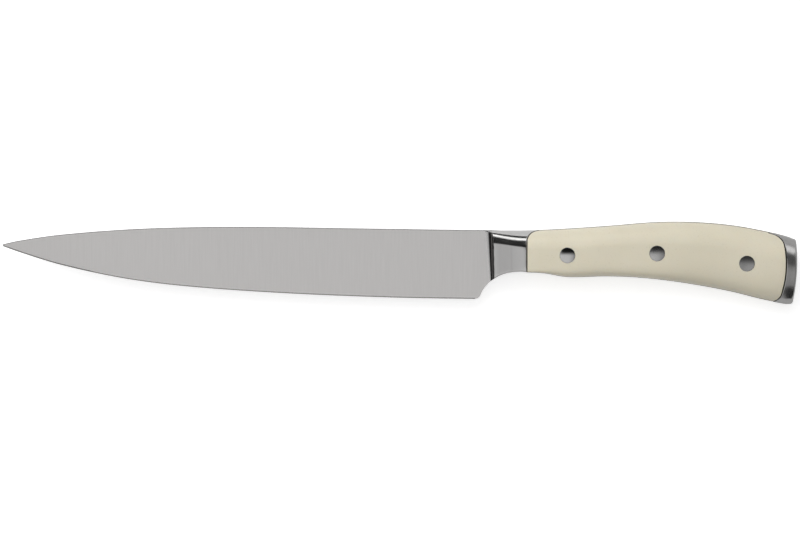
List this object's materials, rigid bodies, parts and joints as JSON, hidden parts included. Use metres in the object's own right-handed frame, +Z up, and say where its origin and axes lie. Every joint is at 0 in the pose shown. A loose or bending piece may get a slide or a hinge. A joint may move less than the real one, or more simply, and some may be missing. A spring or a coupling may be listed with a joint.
{
  "type": "carving knife",
  "caption": "Forged carving knife with a full tang, a half bolster in front, a steel rear bolster and riveted cream handle scales.",
  "frame": {"origin": "The knife lies on its side on a table. The origin is under the middle of its box, on the table.", "axes": "+X runs along the knife from the point to the butt, +Y from the cutting edge up to the spine, +Z up through the knife's thickness."},
  "size_m": [0.3274, 0.034, 0.0204],
  "materials": {
    "forged_steel": "satin blade, brushed and polished bolster",
    "bolster_steel": "brushed and polished",
    "cream_plastic": "smooth, soft gloss",
    "rivet_steel": "polished"
  },
  "bodies": {
    "root": {"blade_and_tang": "forged_steel", "rear_bolster": "bolster_steel", "scale_left": "cream_plastic", "scale_right": "cream_plastic", "front_rivet_socket": "rivet_steel", "front_rivet_stud": "rivet_steel", "middle_rivet_socket": "rivet_steel", "middle_rivet_stud": "rivet_steel", "rear_rivet_socket": "rivet_steel", "rear_rivet_stud": "rivet_steel"}
  },
  "joints": []
}
